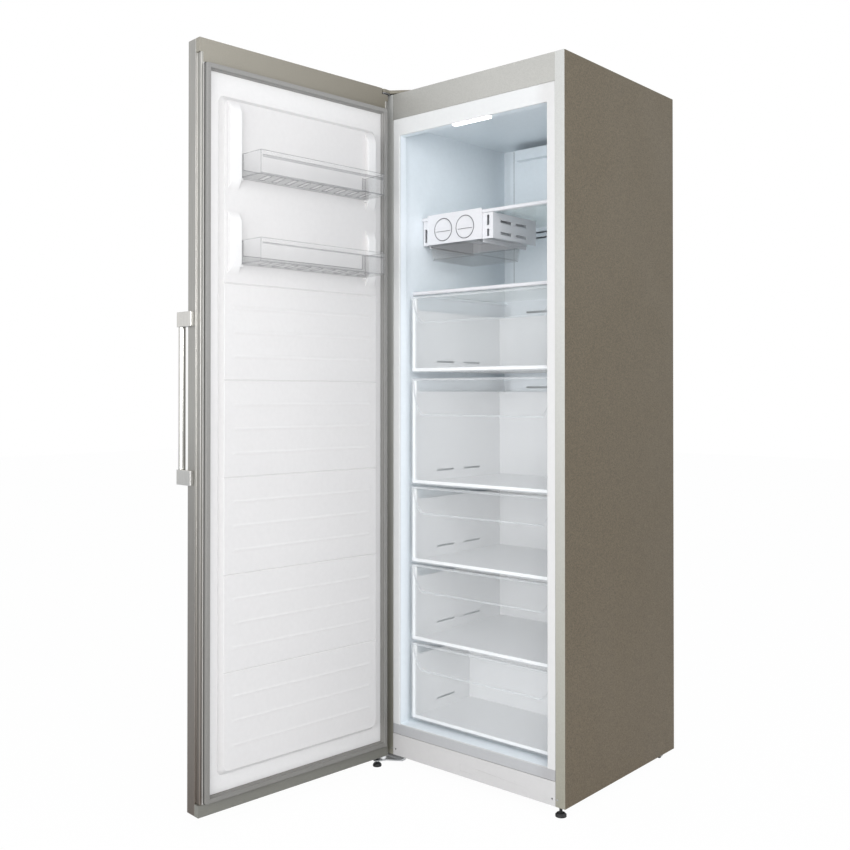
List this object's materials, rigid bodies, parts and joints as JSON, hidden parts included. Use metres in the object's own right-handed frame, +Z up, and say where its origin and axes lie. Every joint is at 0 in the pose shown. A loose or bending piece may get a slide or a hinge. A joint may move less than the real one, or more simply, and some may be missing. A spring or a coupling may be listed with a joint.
{
  "type": "upright freezer",
  "caption": "Tall free-standing freezer with a hinged, insulated door on the left, clear-fronted drawers, shelves, an ice maker and door bins.",
  "frame": {"origin": "centre of the underside of the front levelling foot on the hinge side", "axes": "+X across the front from the hinge side, +Y from the front to the back, +Z up"},
  "size_m": [0.7134, 1.1615, 1.869],
  "materials": {
    "side_steel": "fine-grained paint in a brown grey",
    "face_steel": "satin silver paint",
    "door_steel": "brushed steel",
    "zinc_steel": "zinc-coated sheet and tube",
    "hinge_steel": "dark plated steel",
    "handle_steel": "bright brushed steel",
    "aluminium_fins": "bare aluminium",
    "copper": "bare copper",
    "black_paint": "black enamel",
    "white_liner": "white moulded sheet, semi-gloss",
    "white_plastic": "white moulded plastic",
    "grey_plastic": "warm grey plastic",
    "black_plastic": "black plastic",
    "clear_plastic": "clear moulded plastic",
    "shelf_glass": "clear toughened glass",
    "lamp": "translucent white cover",
    "seal": "soft grey seal",
    "foam": "rigid foam",
    "black_foot": "black plastic foot"
  },
  "bodies": {
    "cabinet": {"left_side_panel": "side_steel", "right_side_panel": "side_steel", "front_top_rail": "face_steel", "top_panel": "side_steel", "back_panel": "zinc_steel", "base_plate": "zinc_steel", "cabinet_insulation": "foam", "inner_liner": "white_liner", "front_plinth": "white_plastic", "ceiling_lamp_cover": "lamp", "evaporator_cover": "white_plastic", "evaporator_coil": "aluminium_fins", "defrost_heater": "zinc_steel", "fan_motor": "black_plastic", "upper_shelf_glass": "shelf_glass", "upper_shelf_trim": "white_plastic", "lower_shelf_glass": "shelf_glass", "lower_shelf_trim": "white_plastic", "ice_maker_frame": "white_plastic", "upper_hinge_bracket": "hinge_steel", "upper_hinge_cover": "grey_plastic", "lower_hinge_bracket": "hinge_steel", "compressor": "black_paint", "compressor_relay": "black_plastic", "evaporation_pan": "black_plastic", "condenser_coil": "zinc_steel", "filter_drier": "copper", "refrigerant_pipe": "copper"},
    "door": {"door_outer_panel": "door_steel", "door_insulation": "foam", "door_liner": "white_liner", "door_gasket": "seal", "door_top_cap": "grey_plastic", "door_bottom_cap": "grey_plastic", "handle_bracket_upper": "handle_steel", "handle_bracket_lower": "handle_steel", "handle_bar": "handle_steel", "lower_hinge_bush": "white_plastic"},
    "door_bin_upper": {"door_bin_upper": "clear_plastic"},
    "door_bin_lower": {"door_bin_lower": "clear_plastic"},
    "ice_bin": {"ice_bin": "clear_plastic"},
    "ice_tray_left": {"ice_tray_left": "white_plastic", "ice_knob_left": "white_plastic"},
    "ice_tray_right": {"ice_tray_right": "white_plastic", "ice_knob_right": "white_plastic"},
    "front_left_foot": {"front_left_foot": "black_foot"},
    "front_right_foot": {"front_right_foot": "black_foot"},
    "rear_left_roller": {"rear_left_roller": "black_plastic"},
    "rear_right_roller": {"rear_right_roller": "black_plastic"},
    "fan": {"fan_wheel": "white_plastic"},
    "drawer_5": {"drawer_5_tub": "white_plastic", "drawer_5_front": "clear_plastic"},
    "drawer_4": {"drawer_4_tub": "white_plastic", "drawer_4_front": "clear_plastic"},
    "drawer_3": {"drawer_3_tub": "white_plastic", "drawer_3_front": "clear_plastic"},
    "drawer_2": {"drawer_2_tub": "white_plastic", "drawer_2_front": "clear_plastic"},
    "drawer_1": {"drawer_1_tub": "white_plastic", "drawer_1_front": "clear_plastic"}
  },
  "joints": [
    {"name": "door_swing", "type": "hinge", "parent": "cabinet", "child": "door", "pos_m": [0.005, 0.018, 0], "axis": [0, 0, -1], "range_deg": [-95, 25]},
    {"name": "drawer_5_slide", "type": "slide", "parent": "cabinet", "child": "drawer_5", "axis": [0, -1, 0], "range_m": [0, 0.2]},
    {"name": "drawer_4_slide", "type": "slide", "parent": "cabinet", "child": "drawer_4", "axis": [0, -1, 0], "range_m": [0, 0.3]},
    {"name": "drawer_3_slide", "type": "slide", "parent": "cabinet", "child": "drawer_3", "axis": [0, -1, 0], "range_m": [0, 0.3]},
    {"name": "drawer_2_slide", "type": "slide", "parent": "cabinet", "child": "drawer_2", "axis": [0, -1, 0], "range_m": [0, 0.3]},
    {"name": "drawer_1_slide", "type": "slide", "parent": "cabinet", "child": "drawer_1", "axis": [0, -1, 0], "range_m": [0, 0.3]},
    {"name": "ice_bin_slide", "type": "slide", "parent": "cabinet", "child": "ice_bin", "axis": [0, -1, 0], "range_m": [0, 0.18]},
    {"name": "ice_tray_left_twist", "type": "hinge", "parent": "cabinet", "child": "ice_tray_left", "pos_m": [0.1225, 0.14, 1.481], "axis": [0, 1, 0], "range_deg": [0, 120], "stiffness_Nm_per_rad": 0.2},
    {"name": "ice_tray_right_twist", "type": "hinge", "parent": "cabinet", "child": "ice_tray_right", "pos_m": [0.2005, 0.14, 1.481], "axis": [0, 1, 0], "range_deg": [0, 120], "stiffness_Nm_per_rad": 0.2},
    {"name": "door_bin_upper_lift", "type": "slide", "parent": "door", "child": "door_bin_upper", "axis": [0, 0, 1], "range_m": [0, 0.03]},
    {"name": "door_bin_lower_lift", "type": "slide", "parent": "door", "child": "door_bin_lower", "axis": [0, 0, 1], "range_m": [0, 0.03]},
    {"name": "front_left_foot_turn", "type": "hinge", "parent": "cabinet", "child": "front_left_foot", "pos_m": [0, 0, 0], "axis": [0, 0, 1], "continuous": true},
    {"name": "front_right_foot_turn", "type": "hinge", "parent": "cabinet", "child": "front_right_foot", "pos_m": [0.566, 0.056, 0], "axis": [0, 0, 1], "continuous": true},
    {"name": "rear_left_roller_spin", "type": "hinge", "parent": "cabinet", "child": "rear_left_roller", "pos_m": [0.028, 0.562, 0.012], "axis": [1, 0, 0], "continuous": true},
    {"name": "rear_right_roller_spin", "type": "hinge", "parent": "cabinet", "child": "rear_right_roller", "pos_m": [0.555, 0.562, 0.012], "axis": [1, 0, 0], "continuous": true},
    {"name": "fan_spin", "type": "hinge", "parent": "cabinet", "child": "fan", "pos_m": [0.2915, 0.508, 1.402], "axis": [0, 1, 0], "continuous": true}
  ]
}
